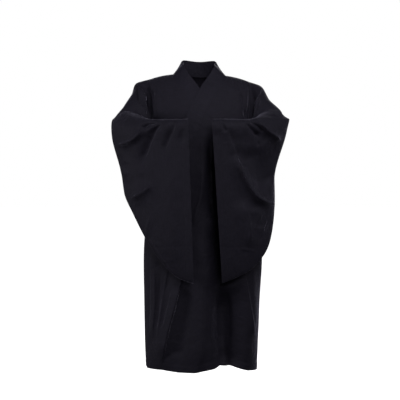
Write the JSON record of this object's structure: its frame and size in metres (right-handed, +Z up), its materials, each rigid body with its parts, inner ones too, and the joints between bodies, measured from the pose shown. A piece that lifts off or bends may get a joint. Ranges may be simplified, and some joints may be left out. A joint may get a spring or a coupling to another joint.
{
  "type": "buddhist monk robe",
  "caption": "Long black wrap robe with a standing collar band and very wide hanging sleeves, hollow, in the form it takes with the hands held together.",
  "frame": {"origin": "the middle of the neck at the height of the shoulders, where the wearer holds the robe", "axes": "+Z up, -Y the front of the robe, +X the wearer's left"},
  "size_m": [0.7663, 0.46, 1.3657],
  "materials": {
    "black_cloth": "fine plain-woven polyester and cotton, black with a faint sheen along the folds",
    "band_cloth": "the same black cloth folded into several layers and pressed flat, with rows of stitching"
  },
  "bodies": {
    "root": {"half_left": "black_cloth", "half_right": "black_cloth", "outer_front": "black_cloth", "inner_front": "black_cloth", "sleeve_left": "black_cloth", "sleeve_right": "black_cloth", "collar_band": "band_cloth", "tie_front": "band_cloth", "tie_side": "band_cloth", "tie_knot": "band_cloth"}
  },
  "joints": []
}
